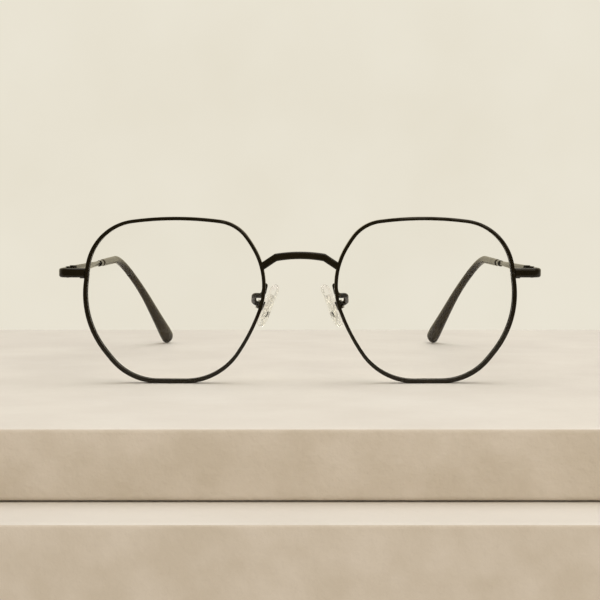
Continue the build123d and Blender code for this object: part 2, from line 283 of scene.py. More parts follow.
@dataclass(frozen=True)
class Finish:
    """A surface finish whose colour and gloss vary a little, as on the real piece."""

    name: str
    color: tuple[float, float, float]
    second_color: tuple[float, float, float]
    roughness: float
    roughness_spread: float
    cloud_scale: float
    speck_scale: float
    bump: float
    bump_reach: float = 0.02 * MM
    metallic: float = 0.0
    ior: float = 1.5
    specular: float = 0.5
    transmission: float = 0.0
    alpha: float = 1.0

    def build(self, group: bpy.types.NodeTree) -> bpy.types.Material:
        """Build the material.

        Args:
            group: the shared group of clouds and specks.

        Returns:
            The new material.
        """
        material = bpy.data.materials.new(self.name)
        material.use_nodes = True
        nodes = Nodes(material.node_tree)
        shader = material.node_tree.nodes["Principled BSDF"]
        looks = {
            "Color": (*self.color, 1),
            "Second Color": (*self.second_color, 1),
            "Roughness": self.roughness,
            "Roughness Spread": self.roughness_spread,
            "Cloud Scale": self.cloud_scale,
            "Speck Scale": self.speck_scale,
        }
        surface = nodes.add("ShaderNodeGroup", looks, node_tree=group).outputs
        inputs = {
            "Base Color": surface["Color"],
            "Roughness": surface["Roughness"],
            "Metallic": self.metallic,
            "IOR": self.ior,
            "Specular IOR Level": self.specular,
            "Transmission Weight": self.transmission,
            "Alpha": self.alpha,
        }
        if self.bump:
            relief = {"Strength": self.bump, "Distance": self.bump_reach}
            bump = nodes.add("ShaderNodeBump", relief | {"Height": surface["Height"]})
            inputs["Normal"] = bump.outputs["Normal"]
        nodes.fill(shader, inputs)
        if self.transmission:
            self.let_light_through(nodes, shader)
        return material

    @staticmethod
    def let_light_through(nodes: Nodes, shader: bpy.types.Node) -> None:
        """Make a clear finish cast next to no shadow.

        Args:
            nodes: the material's nodes.
            shader: its Principled BSDF.
        """
        shadow = nodes.add("ShaderNodeLightPath").outputs["Is Shadow Ray"]
        clear = nodes.add("ShaderNodeBsdfTransparent", {"Color": CLEAR_SHADOW}).outputs["BSDF"]
        mix = nodes.join("ShaderNodeMixShader", shadow, shader.outputs["BSDF"], clear)
        nodes.fill(nodes.tree.nodes["Material Output"], {"Surface": mix})


BLACK_METAL = Finish(
    name="gloss_black_metal",
    color=(0.0085, 0.006, 0.0018),
    second_color=(0.012, 0.0085, 0.003),
    roughness=0.11,
    roughness_spread=0.08,
    cloud_scale=260.0,
    speck_scale=5200.0,
    bump=0.08,
    specular=0.26,
)
SCREW_METAL = Finish(
    name="blackened_screw_metal",
    color=(0.05, 0.045, 0.038),
    second_color=(0.09, 0.082, 0.07),
    roughness=0.28,
    roughness_spread=0.12,
    cloud_scale=900.0,
    speck_scale=6000.0,
    bump=0.1,
    metallic=0.9,
)
TIP_PLASTIC = Finish(
    name="dark_tip_plastic",
    color=(0.018, 0.012, 0.0035),
    second_color=(0.029, 0.02, 0.006),
    roughness=0.2,
    roughness_spread=0.08,
    cloud_scale=120.0,
    speck_scale=3200.0,
    bump=0.03,
    specular=0.2,
)
LENS_GLASS = Finish(
    name="clear_lens",
    color=(1.0, 1.0, 1.0),
    second_color=(0.996, 1.0, 0.996),
    roughness=0.0,
    roughness_spread=0.0,
    cloud_scale=40.0,
    speck_scale=900.0,
    bump=0.0,
    ior=1.24,
    transmission=1.0,
)
CLEAR_PAD = Finish(
    name="clear_pad_plastic",
    color=(0.99, 0.985, 0.97),
    second_color=(0.97, 0.965, 0.945),
    roughness=0.04,
    roughness_spread=0.06,
    cloud_scale=500.0,
    speck_scale=3000.0,
    bump=0.1,
    ior=1.18,
    transmission=1.0,
    alpha=0.5,
)
SMOKY_INSERT = Finish(
    name="smoky_insert_plastic",
    color=(0.86, 0.84, 0.8),
    second_color=(0.76, 0.74, 0.7),
    roughness=0.08,
    roughness_spread=0.15,
    cloud_scale=700.0,
    speck_scale=5000.0,
    bump=0.1,
    ior=1.06,
    transmission=0.98,
    alpha=0.7,
)
PALE_STONE = Finish(
    name="pale_stone",
    color=(0.76, 0.73, 0.68),
    second_color=(0.715, 0.68, 0.625),
    roughness=0.55,
    roughness_spread=0.2,
    cloud_scale=28.0,
    speck_scale=420.0,
    bump=0.25,
    bump_reach=0.0004,
)
# Darker, warmer stone for the slabs' sides: partly the unpolished finish, partly painted shade
# that darkens the sides against the top.
UNPOLISHED_SHADED_STONE = Finish(
    name="unpolished_stone",
    color=(0.655, 0.59, 0.505),
    second_color=(0.585, 0.52, 0.43),
    roughness=0.7,
    roughness_spread=0.2,
    cloud_scale=95.0,
    speck_scale=700.0,
    bump=0.5,
    bump_reach=0.0005,
)


class Workshop:
    """Makes plain meshes for the visible pieces and puts them in the scene."""

    def __init__(self) -> None:
        """Build the shared shader group and every material."""
        group = cloudy_group()
        self.materials = {
            finish.name: finish.build(group)
            for finish in (
                BLACK_METAL, SCREW_METAL, TIP_PLASTIC, LENS_GLASS, CLEAR_PAD, SMOKY_INSERT,
                PALE_STONE, UNPOLISHED_SHADED_STONE,
            )
        }

    def material(self, finish: Finish) -> bpy.types.Material:
        """Return the material made for a finish."""
        return self.materials[finish.name]

    def dress(self, piece: bpy.types.Object, finish: Finish) -> None:
        """Give every face of a piece one finish."""
        piece.data.materials.clear()
        piece.data.materials.append(self.material(finish))

    def add(self, name: str, data: bpy.types.ID) -> bpy.types.Object:
        """Put a mesh, curve, light or camera in the scene.

        Args:
            name: the object's name.
            data: what it holds.

        Returns:
            The new object.
        """
        data.name = name
        piece = bpy.data.objects.new(name, data)
        bpy.context.scene.collection.objects.link(piece)
        return piece

    def baked(self, piece: bpy.types.Object) -> bpy.types.Object:
        """Turn a piece with modifiers into a plain mesh.

        Args:
            piece: the object, which is removed.

        Returns:
            The plain object, under the same name.
        """
        name = piece.name
        bpy.context.view_layer.update()
        graph = bpy.context.evaluated_depsgraph_get()
        mesh = bpy.data.meshes.new_from_object(
            piece.evaluated_get(graph), preserve_all_data_layers=True, depsgraph=graph
        )
        bpy.data.objects.remove(piece)
        return self.add(name, mesh)

    def finish(
        self, piece: bpy.types.Object, finish: Finish, body: str, slot: Slot, nodes: list[str]
    ) -> bpy.types.Object:
        """Dress a made piece and let it stand for the CAD nodes that it follows.

        Args:
            piece: the plain object.
            finish: its finish.
            body: the body that it rides on.
            slot: the record's material slot; not used.
            nodes: the nodes that it replaces.

        Returns:
            The same object.
        """
        self.dress(piece, finish)
        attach(piece, body)
        if nodes:
            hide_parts(*nodes)
        log.info("%s rides on %s, %d faces", piece.name, body, len(piece.data.polygons))
        return piece

    def softened(self, node: str, name: str, edge: float) -> bpy.types.Object:
        """Copy a CAD node with its facets merged and its edges rounded off.

        Args:
            node: the node to copy.
            name: the new piece's name.
            edge: the width of the rounding.

        Returns:
            The plain object.
        """
        mesh = frame["nodes"][node].data.copy()
        mesh.materials.clear()
        shape = bmesh.new()
        shape.from_mesh(mesh)
        bmesh.ops.remove_doubles(shape, verts=shape.verts, dist=MERGE_REACH)
        bmesh.ops.dissolve_limit(
            shape, angle_limit=MERGE_ANGLE, verts=shape.verts, edges=shape.edges, delimit=set()
        )
        for face in shape.faces:
            face.smooth = True
        shape.to_mesh(mesh)
        shape.free()
        piece = self.add(name, mesh)
        bevel = piece.modifiers.new("rounded edges", "BEVEL")
        bevel.width = edge
        bevel.segments = BEVEL_SEGMENTS
        bevel.limit_method = "ANGLE"
        bevel.angle_limit = SHARP_ANGLE
        bevel.harden_normals = True
        bevel.miter_outer = "MITER_ARC"
        return self.baked(piece)


def joint_spot(name: str) -> Vector:
    """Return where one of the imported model's joints has its axis."""
    return Vector(next(joint["pos_m"] for joint in frame["joints"] if joint["name"] == name))


def frame_origin() -> Vector:
    """Find where the part's own drawing has its origin.

    Returns:
        The point, below the middle of the front.
    """
    origin = joint_spot(FOLD_JOINT) - HINGE_IN_DRAWING
    origin.x = 0
    return origin


def rounded_route(corners: list[Vector], radii: list[float], step: float) -> list[Vector]:
    """Return points along a route whose corners are rounded by arcs.

    Args:
        corners: the route's corners, ends included.
        radii: the radius at each inner corner.
        step: the longest distance between points.

    Returns:
        The points, evenly spread on each stretch.
    """
    points = [corners[0]]
    for before, corner, after, radius in zip(corners, corners[1:], corners[2:], radii):
        backward = (before - corner).normalized()
        forward = (after - corner).normalized()
        half_turn = (math.pi - backward.angle(forward)) / 2
        cut = radius * math.tan(half_turn)
        start = corner + backward * cut
        end = corner + forward * cut
        points += stretch(points[-1], start, step)
        inward = (backward + forward).normalized()
        centre = corner + inward * (radius / math.cos(half_turn))
        axis = backward.cross(forward).normalized()
        count = max(LEAST_BEND_STEPS, math.ceil(2 * half_turn * radius / step))
        for index in range(1, count + 1):
            turn = Matrix.Rotation(-2 * half_turn * index / count, 3, axis)
            points.append(centre + turn @ (start - centre))
        points[-1] = end
    return points + stretch(points[-1], corners[-1], step)


def stretch(start: Vector, end: Vector, step: float) -> list[Vector]:
    """Return evenly spaced points after one point, up to and including another."""
    count = max(1, math.ceil((end - start).length / step))
    return [start.lerp(end, index / count) for index in range(1, count + 1)]


def lofted(rings: list[list[Vector]]) -> bpy.types.Mesh:
    """Skin rings of points into a closed mesh.

    Args:
        rings: the rings, all of one length and winding the same way.

    Returns:
        The mesh, smooth, with its faces pointing out.
    """
    shape = bmesh.new()
    rows = [[shape.verts.new(point) for point in ring] for ring in rings]
    count = len(rows[0])
    for low, high in zip(rows, rows[1:]):
        for index in range(count):
            after = (index + 1) % count
            shape.faces.new((low[index], low[after], high[after], high[index]))
    for end in (0, -1):
        row, middle = rows[end], shape.verts.new(centre_of(rings[end]))
        for index in range(count):
            shape.faces.new((row[index], row[(index + 1) % count], middle))
    bmesh.ops.recalc_face_normals(shape, faces=shape.faces)
    for face in shape.faces:
        face.smooth = True
    mesh = bpy.data.meshes.new("lofted")
    shape.to_mesh(mesh)
    shape.free()
    return mesh


def centre_of(points: list[Vector]) -> Vector:
    """Return the mean of some points."""
    return sum(points, Vector()) / len(points)


def mirrored(mesh: bpy.types.Mesh, side: Side) -> bpy.types.Mesh:
    """Return a copy of a left mesh on one side, its faces pointing out.

    Args:
        mesh: the left mesh.
        side: the side wanted.

    Returns:
        The copy.
    """
    copy = mesh.copy()
    copy.transform(side.mirror)
    if side is Side.RIGHT:
        copy.flip_normals()
    return copy


@dataclass
class Front:
    """The rims, bridge, end pieces, locks, hinge leaves, screws and pad boxes of the front."""

    shop: Workshop
    edges: dict[str, float] = field(
        default_factory=lambda: {
            "rim": 0.12 * MM,
            "end_piece": 0.3 * MM,
            "rim_lock_upper": 0.15 * MM,
            "rim_lock_lower": 0.15 * MM,
            "front_hinge": 0.12 * MM,
            "pad_box": 0.12 * MM,
        }
    )
    bridge_edge: float = 0.2 * MM
    bridge_drop: tuple[float, float] = (0.12 * MM, 0.45 * MM)
    screw_edge: float = 0.06 * MM
    head_share: float = 0.4
    near_split: float = 0.088 * MM
    hairline: float = 0.02 * MM
    split_reach: float = 6 * MM
    inner_growth: float = 0.22 * MM
    growth_bias: float = 0.3
    inner_limit: float = -0.3

    def build(self) -> None:
        """Make every rigid metal piece of the front."""
        bar = self.make("bridge", "bridge_bar", self.bridge_edge, BLACK_METAL, Slot.FRAME_METAL)
        for vertex in bar.data.vertices:
            vertex.co.z -= self.bridge_drop[vertex.normal.z < 0]
        barrel_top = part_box("front_hinge_left")[1].z
        for side in Side:
            for kind, edge in self.edges.items():
                node = f"{kind}_{side.word}"
                name = f"{node}_rounded"
                piece = self.make(node, name, edge, BLACK_METAL, Slot.FRAME_METAL)
                if kind == "rim":
                    self.thicken(piece.data, side)
            node = f"hinge_screw_{side.word}"
            piece = self.make(
                node, f"{node}_rounded", self.screw_edge, SCREW_METAL, Slot.SCREW_METAL
            )
            for vertex in piece.data.vertices:
                above = max(vertex.co.z - barrel_top, 0)
                vertex.co.z -= above * (1 - self.head_share)

    def make(
        self, node: str, name: str, edge: float, finish: Finish, slot: Slot
    ) -> bpy.types.Object:
        """Make one piece of the front from its node.

        Args:
            node: the CAD node.
            name: the new piece's name.
            edge: how widely its edges are rounded.
            finish: its finish.
            slot: the record's material slot.

        Returns:
            The plain object.
        """
        piece = self.shop.softened(node, name, edge)
        self.tighten(piece.data)
        return self.shop.finish(piece, finish, Body.FRONT.value, slot, [node])

    def thicken(self, mesh: bpy.types.Mesh, side: Side) -> None:
        """Thicken a rim inward along its lower and outer sides.

        Args:
            mesh: the rim's mesh.
            side: the wearer's side that it is on.
        """
        low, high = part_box(f"lens_{side.word}")
        middle = (low + high) / 2
        normals = [vertex.normal.copy() for vertex in mesh.vertices]
        for vertex, normal in zip(mesh.vertices, normals):
            outward = vertex.co - middle
            outward.y = 0
            outward.normalize()
            lean = (outward.x * side.value - outward.z) * (1 - self.growth_bias)
            share = min(max(lean + self.growth_bias, 0), 1)
            if outward.dot(normal) < self.inner_limit:
                vertex.co -= outward * self.inner_growth * share

    def tighten(self, mesh: bpy.types.Mesh) -> None:
        """Draw the faces of a rim lock's split together to a hairline, as its screw does.

        Args:
            mesh: the piece's mesh; pieces away from the split stay as they are.
        """
        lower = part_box("rim_lock_lower_left")
        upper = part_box("rim_lock_upper_left")
        middle = (lower[1].z + upper[0].z) / 2
        for vertex in mesh.vertices:
            beside = abs(abs(vertex.co.x) - lower[0].x) < self.split_reach
            above = vertex.co.z - middle
            if beside and 0 < abs(above) < self.near_split:
                vertex.co.z = middle + math.copysign(self.hairline / 2, above)


@dataclass
class LockScrews:
    """The small slotted screws that close the rim locks from below."""

    shop: Workshop
    size: float = 0.72
    edge: float = 0.05 * MM
    seat_depth: float = 0.4 * MM
    turn: tuple[float, float, float] = (math.pi, 0.0, math.radians(35))

    def shape(self) -> bpy.types.Mesh:
        """Make one screw.

        Returns:
            Its mesh, with the head up and the shank's top at the origin.
        """
        pattern = self.shop.softened("hinge_screw_left", "lock_screw", self.edge)
        mesh = pattern.data.copy()
        low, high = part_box("hinge_screw_left")
        middle = (low + high) / 2
        seat = Vector((middle.x, middle.y, high.z - self.seat_depth))
        mesh.transform(Matrix.Scale(self.size, 4) @ Matrix.Translation(-seat))
        bpy.data.objects.remove(pattern)
        return mesh

    def placing_group(self, source: bpy.types.Object) -> bpy.types.NodeTree:
        """Build the tree that sets one object on every point.

        Args:
            source: the object to repeat.

        Returns:
            The tree, whose inputs are the object's turn and its material.
        """
        nodes, given = geometry_group("screws_on_points", {"Turn": "NodeSocketVector"})
        screw = nodes.add("GeometryNodeObjectInfo", {"Object": source}).outputs["Geometry"]
        places = {"Points": given["Geometry"], "Instance": screw, "Rotation": given["Turn"]}
        spread = nodes.add("GeometryNodeInstanceOnPoints", places)
        return hand_out(nodes, spread.outputs["Instances"], given["Material"])

    def build(self) -> None:
        """Set a screw under each rim lock, upside down."""
        source = self.shop.add("lock_screw_shape", self.shape())
        low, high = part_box("rim_lock_lower_left")
        spot = Vector(((low.x + high.x) / 2, (low.y + high.y) / 2, low.z))
        points = bpy.data.meshes.new("lock_screw_points")
        points.from_pydata([side.mirror @ spot for side in Side], [], [])
        piece = self.shop.add("lock_screws", points)
        placing = piece.modifiers.new("screws", "NODES")
        placing.node_group = self.placing_group(source)
        set_inputs(placing, {"Turn": self.turn, "Material": self.shop.material(SCREW_METAL)})
        piece = self.shop.baked(piece)
        bpy.data.objects.remove(source)
        self.shop.finish(piece, SCREW_METAL, Body.FRONT.value, Slot.SCREW_METAL, [])


@dataclass
class Lenses:
    """The two clear lenses, smooth over their faces."""

    shop: Workshop
    width: float = 51.0 * MM
    height: float = 46.5 * MM
    gap: float = 20.6 * MM
    rim_width: float = 1.0 * MM
    rim_depth: float = 2.7 * MM
    surface_radius: float = 265.0 * MM
    wrap: float = math.radians(1)
    face_limit: float = 0.9

    def centre(self) -> Vector:
        """Find the centre of the spheres that the left lens's faces follow.

        Returns:
            The point, in the frame.
        """
        half = self.width / 2
        sag = self.surface_radius - math.sqrt(self.surface_radius**2 - half**2)
        back = self.surface_radius - sag + self.rim_depth / 2
        across = self.gap / 2 + half * math.cos(self.wrap) - back * math.sin(self.wrap)
        behind = half * math.sin(self.wrap) + back * math.cos(self.wrap)
        place = Vector((across, behind, (self.height + self.rim_width) / 2))
        return frame_origin() + Matrix.Rotation(FRONT_TILT, 3, "X") @ place

    def build(self) -> None:
        """Copy both lenses, with the true normals of their faces."""
        for side in Side:
            node = f"lens_{side.word}"
            mesh = frame["nodes"][node].data.copy()
            centre = side.mirror @ self.centre()
            for polygon in mesh.polygons:
                polygon.use_smooth = True
            normals = []
            for polygon in mesh.polygons:
                for index in polygon.vertices:
                    outward = (mesh.vertices[index].co - centre).normalized()
                    facing = outward.dot(polygon.normal)
                    true_normal = outward * math.copysign(1, facing)
                    on_face = abs(facing) > self.face_limit
                    normals.append(true_normal if on_face else polygon.normal)
            mesh.normals_split_custom_set(normals)
            piece = self.shop.add(f"{node}_polished", mesh)
            self.shop.finish(piece, LENS_GLASS, Body.FRONT.value, Slot.LENS, [node])


@dataclass
class Temples:
    """The folding arms: metal temple, hinge leaf, ferrule and bent plastic tip."""

    shop: Workshop
    convergence: float = math.radians(3.1)
    axis_offset: float = 1.92 * MM
    tip_start: float = 57.8 * MM
    tip_rise: float = 0.55 * MM
    bend_start: float = 90.7 * MM
    hook_middle: Vector = millimetres(-5.3, 14.2, -10.6)
    hook_end_reach: float = 37.6 * MM
    hook_end_inset: float = 12.2 * MM
    hook_end_drop: float = 30.42 * MM
    bend_radius: float = 24.0 * MM
    hook_radius: float = 180.0 * MM
    start_size: Vector = millimetres(2.2, 2.25)
    neck_size: Vector = millimetres(2.35, 2.75)
    paddle_size: Vector = millimetres(4.1, 5.2)
    neck_share: float = 0.56
    paddle_share: float = 0.94
    swell_power: float = 1.6
    ring_points: int = 40
    ring_gap: float = 0.9 * MM
    start_round: float = 0.3 * MM
    start_shares: tuple[float, float] = (0.45, 0.8)
    end_rings: int = 9
    end_turn: float = math.radians(88)
    arm_rise: tuple[float, float] = (0.6 * MM, 0.25 * MM)
    rise_share: float = 0.22
    arm_edge: float = 0.18 * MM
    leaf_edge: float = 0.12 * MM
    ferrule_edge: float = 0.22 * MM

    def place(self) -> Matrix:
        """Find where the left temple lies.

        Returns:
            The matrix from the temple's own axes to the frame.
        """
        turn = Matrix.Rotation(self.convergence, 4, "Z")
        offset = Matrix.Translation((self.axis_offset, 0, 0))
        return Matrix.Translation(joint_spot(FOLD_JOINT)) @ turn @ offset

    def tip_route(self) -> list[Vector]:
        """Lay out the middle line of the left tip.

        Returns:
            Its points, on the temple's own axes.
        """
        bend = Vector((0, self.bend_start, self.tip_rise * self.bend_start / self.tip_start))
        far = self.bend_start + self.hook_end_reach
        end = Vector((-self.hook_end_inset, far, -self.hook_end_drop))
        start = Vector((0, self.tip_start, self.tip_rise))
        corners = [start, bend, bend + self.hook_middle, end]
        return rounded_route(corners, [self.bend_radius, self.hook_radius], self.ring_gap)

    def tip_size(self, share: float) -> Vector:
        """Size the tip at one place along it.

        Args:
            share: the share of its length up to there.

        Returns:
            Its width and height.
        """
        neck = min(share / self.neck_share, 1)
        swell = (share - self.neck_share) / (self.paddle_share - self.neck_share)
        swell = min(max(swell, 0), 1) ** self.swell_power
        slim = self.start_size.lerp(self.neck_size, neck)
        return slim + (self.paddle_size - self.neck_size) * swell

    def ring(self, middle: Vector, along: Vector, size: Vector) -> list[Vector]:
        """Return an ellipse of points round the route.

        Args:
            middle: its centre.
            along: the route's direction there.
            size: its width and height.

        Returns:
            The points.
        """
        across = along.cross(Vector((0, 0, 1))).normalized()
        upward = across.cross(along).normalized()
        points = []
        for index in range(self.ring_points):
            turn = math.tau * index / self.ring_points
            sideways = across * (math.sin(turn) * size.x / 2)
            points.append(middle + upward * (math.cos(turn) * size.y / 2) + sideways)
        return points

    def tip_mesh(self) -> bpy.types.Mesh:
        """Sweep the left tip, which swells, bends and ends round.

        Returns:
            The mesh, on the temple's own axes.
        """
        route = self.tip_route()
        reaches = [0.0]
        for before, after in zip(route, route[1:]):
            reaches.append(reaches[-1] + (after - before).length)
        length = reaches[-1]
        round_end = self.paddle_size.x / 2
        rings = []
        first = (route[1] - route[0]).normalized()
        for share in self.start_shares:
            trim = (1 - share) * 2 * self.start_round / self.start_size.x
            place = route[0] + first * self.start_round * share * share
            rings.append(self.ring(place, first, self.start_size * (1 - trim)))
        for index, (point, reach) in enumerate(zip(route, reaches)):
            if self.start_round < reach < length - round_end:
                along = (route[index + 1] - route[index - 1]).normalized()
                rings.append(self.ring(point, along, self.tip_size(reach / length)))
        last = (route[-1] - route[-2]).normalized()
        base = route[-1] - last * round_end
        for index in range(self.end_rings):
            turn = self.end_turn * index / (self.end_rings - 1)
            place = base + last * (round_end * math.sin(turn))
            rings.append(self.ring(place, last, self.paddle_size * math.cos(turn)))
        return lofted(rings)

    def raise_edge(self, mesh: bpy.types.Mesh) -> None:
        """Raise the upper edge of an arm between its hinge and its ferrule.

        Args:
            mesh: the arm's mesh.
        """
        start = joint_spot(FOLD_JOINT)
        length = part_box("ferrule_left")[0].y - start.y
        near, far = self.arm_rise
        for vertex in mesh.vertices:
            share = (vertex.co.y - start.y) / length
            middle = start.z + self.tip_rise * share
            if share < 1 and vertex.co.z > middle + self.arm_edge:
                rise = near + (far - near) * share
                vertex.co.z += rise * min(max(share / self.rise_share, 0), 1)

    def build(self) -> None:
        """Make both temples."""
        tip = self.tip_mesh()
        tip.transform(self.place())
        metal = (
            ("temple", "temple_arm", self.arm_edge),
            ("temple_hinge", "temple_hinge_leaf", self.leaf_edge),
            ("ferrule", "ferrule_collar", self.ferrule_edge),
        )
        for side in Side:
            body = Body.TEMPLE.on(side)
            for kind, name, edge in metal:
                node = f"{kind}_{side.word}"
                piece = self.shop.softened(node, f"{name}_{side.word}", edge)
                if kind == "temple":
                    self.raise_edge(piece.data)
                self.shop.finish(piece, BLACK_METAL, body, Slot.FRAME_METAL, [node])
            piece = self.shop.add(f"tip_{side.word}", mirrored(tip, side))
            node = f"temple_tip_{side.word}"
            self.shop.finish(piece, TIP_PLASTIC, body, Slot.TIP_PLASTIC, [node])


@dataclass
class NosePads:
    """The clear moulded pads, the inserts inside them and the inserts' dark cores."""

    shop: Workshop
    length: float = 13.2 * MM
    bottom_width: float = 7.4 * MM
    top_width: float = 5.4 * MM
    thickness: float = 2.2 * MM
    edge_reach: float = 0.95 * MM
    crown: float = 0.12 * MM
    pin_offset: float = 1.95 * MM
    frontal: float = math.radians(23)
    splay: float = math.radians(12)
    lift: float = 0.6 * MM
    outline_points: int = 56
    edge_rings: int = 12
    crown_rings: int = 5
    insert_edge: float = 0.08 * MM
    core_top: Vector = millimetres(-0.8, 0, -0.7)
    core_foot: Vector = millimetres(-0.5, 0, -3.0)
    core_size: Vector = millimetres(0.32, 0.6)
    core_rings: int = 14
    core_sides: int = 20
    core_power: int = 6

    def place(self) -> Matrix:
        """Find where the left pad lies.

        Returns:
            The matrix from the pad's own axes to the frame.
        """
        turn = Matrix.Rotation(FRONT_TILT, 4, "X") @ Matrix.Rotation(-self.splay, 4, "Z")
        turn = turn @ Matrix.Rotation(-self.frontal, 4, "Y")
        offset = Matrix.Translation((-self.pin_offset, 0, 0))
        return Matrix.Translation(joint_spot(ROCK_JOINT)) @ turn @ offset

    def outline(self, inset: float, depth: float) -> list[Vector]:
        """Return the pad's drop shape, drawn in by an inset, at a depth.

        Args:
            inset: how far inside the full outline.
            depth: the place along X.

        Returns:
            The points.
        """
        low_radius = self.bottom_width / 2
        high_radius = self.top_width / 2
        low = Vector((0, 0, self.lift + low_radius - self.length / 2))
        high = Vector((0, 0, self.lift + self.length / 2 - high_radius))
        waist = math.asin((low_radius - high_radius) / (high - low).length)
        points = []
        for index in range(self.outline_points):
            turn = math.tau * index / self.outline_points
            outward = Vector((0, math.cos(turn), math.sin(turn)))
            upper = math.sin(turn) > -math.sin(waist)
            centre, radius = (high, high_radius) if upper else (low, low_radius)
            points.append(centre + outward * (radius - inset) + Vector((depth, 0, 0)))
        return points

    def pad_mesh(self) -> bpy.types.Mesh:
        """Mould the left pad, a drop shape with full round edges and crowned faces.

        Returns:
            The mesh, in the frame.
        """
        half = self.thickness / 2
        rings = []
        for index in range(self.edge_rings + 1):
            turn = math.pi * (index / self.edge_rings - 0.5)
            inset = self.edge_reach * (1 - math.cos(turn))
            rings.append(self.outline(inset, (half - self.crown) * math.sin(turn)))
        span = self.top_width / 2 - self.edge_reach
        for index in range(1, self.crown_rings + 1):
            share = index / (self.crown_rings + 1)
            inset = self.edge_reach + span * share
            depth = half - self.crown * (1 - share) ** 2
            rings.append(self.outline(inset, depth))
            rings.insert(0, self.outline(inset, -depth))
        mesh = lofted(rings)
        mesh.transform(self.place())
        return mesh

    def core_mesh(self) -> bpy.types.Mesh:
        """Form the left insert's dark core, a short flat wire with round ends.

        Returns:
            The mesh, in the frame.
        """
        turns = [math.tau * side / self.core_sides for side in range(self.core_sides)]
        rings = []
        for index in range(1, self.core_rings):
            share = index / self.core_rings
            middle = self.core_top.lerp(self.core_foot, share)
            half = self.core_size * math.sqrt(1 - (2 * share - 1) ** self.core_power) / 2
            rings.append(
                [
                    middle + Vector((math.cos(turn) * half.x, math.sin(turn) * half.y, 0))
                    for turn in turns
                ]
            )
        mesh = lofted(rings)
        mesh.transform(self.place())
        return mesh

    def build(self) -> None:
        """Make both pads and dress their inserts."""
        pad = self.pad_mesh()
        core = self.core_mesh()
        for side in Side:
            body = Body.PAD.on(side)
            piece = self.shop.add(f"clear_pad_{side.word}", mirrored(pad, side))
            node = f"nose_pad_{side.word}"
            self.shop.finish(piece, CLEAR_PAD, body, Slot.CLEAR_PAD, [node])
            node = f"pad_insert_{side.word}"
            piece = self.shop.softened(node, f"{node}_rounded", self.insert_edge)
            self.shop.finish(piece, SMOKY_INSERT, body, Slot.INSERT_PLASTIC, [node])
            piece = self.shop.add(f"pad_core_{side.word}", mirrored(core, side))
            self.shop.finish(piece, SCREW_METAL, body, Slot.INSERT_PLASTIC, [])


@dataclass
class PadArms:
    """The wire arms that carry the pads, swept round with Geometry Nodes."""

    shop: Workshop
    radius: float = 0.74 * MM
    bend_radius: float = 1.4 * MM
    sides: int = 28
    step: float = 0.1 * MM
    least_end: float = 0.1
    foot_level: float = 28.525 * MM
    foot_length: float = 3.6 * MM
    foot_reach: float = 9.78 * MM
    foot_slant: float = 0.8 * MM
    foot_depth: float = 3.37 * MM
    turn_reach: float = 2.6 * MM
    turn_depth: float = 1.3 * MM
    lead_in: float = 1.25 * MM
    box_back: float = 3.08 * MM
    bend_points: int = 12

    def route(self, pads: NosePads) -> list[Vector]:
        """Return the corners of the left arm's route.

        Args:
            pads: the pads, whose boxes the arms end at.

        Returns:
            The corners, in the frame.
        """
        origin = frame_origin()
        low = self.foot_level - self.foot_length
        reach = self.foot_reach + self.foot_slant
        upright = [
            Vector((self.foot_reach, self.foot_depth, self.foot_level)),
            Vector((reach, self.foot_depth, low)),
            Vector((reach + self.turn_reach, self.foot_depth + self.turn_depth, low)),
        ]
        lean = Matrix.Rotation(FRONT_TILT, 4, "X")
        corners = [origin + lean @ point for point in upright]
        pad = pads.place()
        corners.append(pad @ Vector((self.box_back + self.lead_in, 0, 0)))
        corners.append(pad @ Vector((self.box_back, 0, 0)))
        return corners

    def sweep_group(self) -> bpy.types.NodeTree:
        """Build the tree that sweeps a round wire along a rounded polyline.

        Returns:
            The tree, whose inputs are the wire's sizes and its material.
        """
        number = "NodeSocketFloat"
        sizes = {
            "Radius": number, "Bend Radius": number, "Sides": "NodeSocketInt", "Step": number,
        }
        nodes, given = geometry_group("wire_sweep", sizes)
        bends = {
            "Curve": given["Geometry"],
            "Radius": given["Bend Radius"],
            "Count": self.bend_points,
            "Limit Radius": True,
        }
        bent = nodes.add("GeometryNodeFilletCurve", bends, mode="POLY").outputs["Curve"]
        steps = {"Curve": bent, "Length": given["Step"]}
        even = nodes.add("GeometryNodeResampleCurve", steps, mode="LENGTH").outputs["Curve"]
        along = nodes.add("GeometryNodeSplineParameter").outputs["Length"]
        short = nodes.math("DIVIDE", along, given["Radius"])
        short = nodes.math("SUBTRACT", 1, nodes.math("MINIMUM", short, 1))
        round_end = nodes.math("SUBTRACT", 1, nodes.math("MULTIPLY", short, short))
        circle = {"Resolution": given["Sides"], "Radius": given["Radius"]}
        wire = {
            "Curve": even,
            "Profile Curve": nodes.add(
                "GeometryNodeCurvePrimitiveCircle", circle
            ).outputs["Curve"],
            "Scale": nodes.math("MAXIMUM", nodes.math("SQRT", round_end), self.least_end),
            "Fill Caps": True,
        }
        sweep = nodes.add("GeometryNodeCurveToMesh", wire)
        return hand_out(nodes, sweep.outputs["Mesh"], given["Material"])

    def build(self, pads: NosePads) -> None:
        """Make both arms.

        Args:
            pads: the pads that the arms carry.
        """
        tree = self.sweep_group()
        values = {
            "Radius": self.radius,
            "Bend Radius": self.bend_radius,
            "Sides": self.sides,
            "Step": self.step,
            "Material": self.shop.material(BLACK_METAL),
        }
        for side in Side:
            name = f"pad_arm_wire_{side.word}"
            points = [side.mirror @ point for point in self.route(pads)]
            path = bpy.data.curves.new(name, "CURVE")
            path.dimensions = "3D"
            spline = path.splines.new("POLY")
            spline.points.add(len(points) - 1)
            for point, place in zip(spline.points, points):
                point.co = (*place, 1)
            piece = self.shop.add(name, path)
            sweep = piece.modifiers.new("sweep", "NODES")
            sweep.node_group = tree
            set_inputs(sweep, values)
            piece = self.shop.baked(piece)
            node = f"pad_arm_{side.word}"
            self.shop.finish(
                piece, BLACK_METAL, Body.FRONT.value, Slot.FRAME_METAL, [node]
            )


